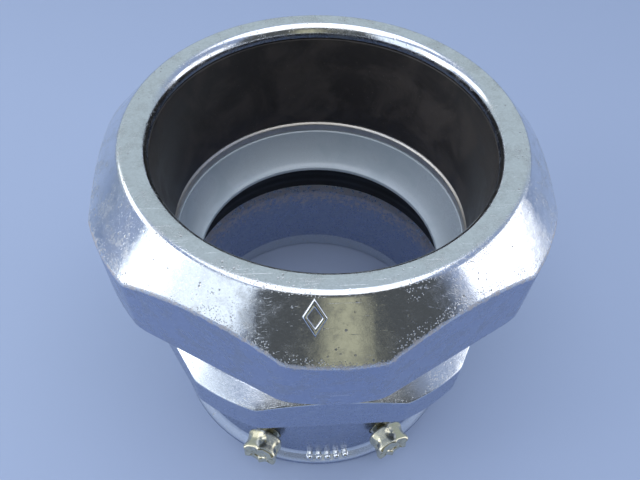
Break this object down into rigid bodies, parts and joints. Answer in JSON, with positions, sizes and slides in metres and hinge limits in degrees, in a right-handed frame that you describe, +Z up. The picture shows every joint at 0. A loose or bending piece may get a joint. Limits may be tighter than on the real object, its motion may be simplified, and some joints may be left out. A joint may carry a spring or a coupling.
{
  "type": "watertight conduit coupling",
  "caption": "Watertight conduit coupling with a hexagon cap nut and rubber packing at one end and a plain socket with set screws at the other.",
  "frame": {"origin": "on the coupling's axis, in the plane that the socket's lip stands on", "axes": "+Z up along the axis, towards the cap nut; -Y faces the two set screws and one flat of the body's hexagon; +X to the right seen from the screws"},
  "size_m": [0.0762, 0.0804, 0.0692],
  "materials": {
    "body_zinc": "bright zinc plating",
    "nut_zinc": "bright zinc plating with worn edges",
    "washer_steel": "zinc plating",
    "packing_rubber": "satin moulded rubber",
    "ring_steel": "zinc plating, slightly yellow",
    "bush_nylon": "smooth pale nylon",
    "seal_rubber": "matt moulded rubber",
    "screw_yellow_zinc": "yellow-tinted bright zinc plating"
  },
  "bodies": {
    "body": {"coupling_body": "body_zinc", "socket_seal": "seal_rubber", "throat_bush": "bush_nylon", "seat_ring": "ring_steel", "packing": "packing_rubber"},
    "nut_carriage": {"thrust_washer": "washer_steel"},
    "nut": {"cap_nut": "nut_zinc"},
    "left_shank": {"left_screw_shank": "screw_yellow_zinc"},
    "left_head": {"left_screw_head": "screw_yellow_zinc"},
    "right_shank": {"right_screw_shank": "screw_yellow_zinc"},
    "right_head": {"right_screw_head": "screw_yellow_zinc"}
  },
  "joints": [
    {"name": "nut_travel", "type": "slide", "parent": "body", "child": "nut_carriage", "axis": [0, 0, 1], "range_m": [-0.002, 0.009], "deforming": ["packing"]},
    {"name": "nut_turn", "type": "hinge", "parent": "nut_carriage", "child": "nut", "pos_m": [0, 0, 0.0493], "axis": [0, 0, 1], "range_deg": [-360, 1620]},
    {"name": "left_screw_travel", "type": "slide", "parent": "body", "child": "left_shank", "axis": [-0.3827, -0.9239, 0], "range_m": [-0.0008, 0.0016]},
    {"name": "left_screw_turn", "type": "hinge", "parent": "left_shank", "child": "left_head", "pos_m": [-0.01228, -0.02966, 0.011], "axis": [-0.3827, -0.9239, 0], "range_deg": [-360, 720]},
    {"name": "right_screw_travel", "type": "slide", "parent": "body", "child": "right_shank", "axis": [0.3827, -0.9239, 0], "range_m": [-0.0008, 0.0016]},
    {"name": "right_screw_turn", "type": "hinge", "parent": "right_shank", "child": "right_head", "pos_m": [0.01228, -0.02966, 0.011], "axis": [0.3827, -0.9239, 0], "range_deg": [-360, 720]}
  ],
  "couplings": [
    {"joint": "nut_travel", "follows": "nut_turn", "m_per_rad": 0.00031831},
    {"joint": "left_screw_turn", "follows": "left_screw_travel", "rad_per_m": 7854},
    {"joint": "right_screw_turn", "follows": "right_screw_travel", "rad_per_m": 7854}
  ]
}
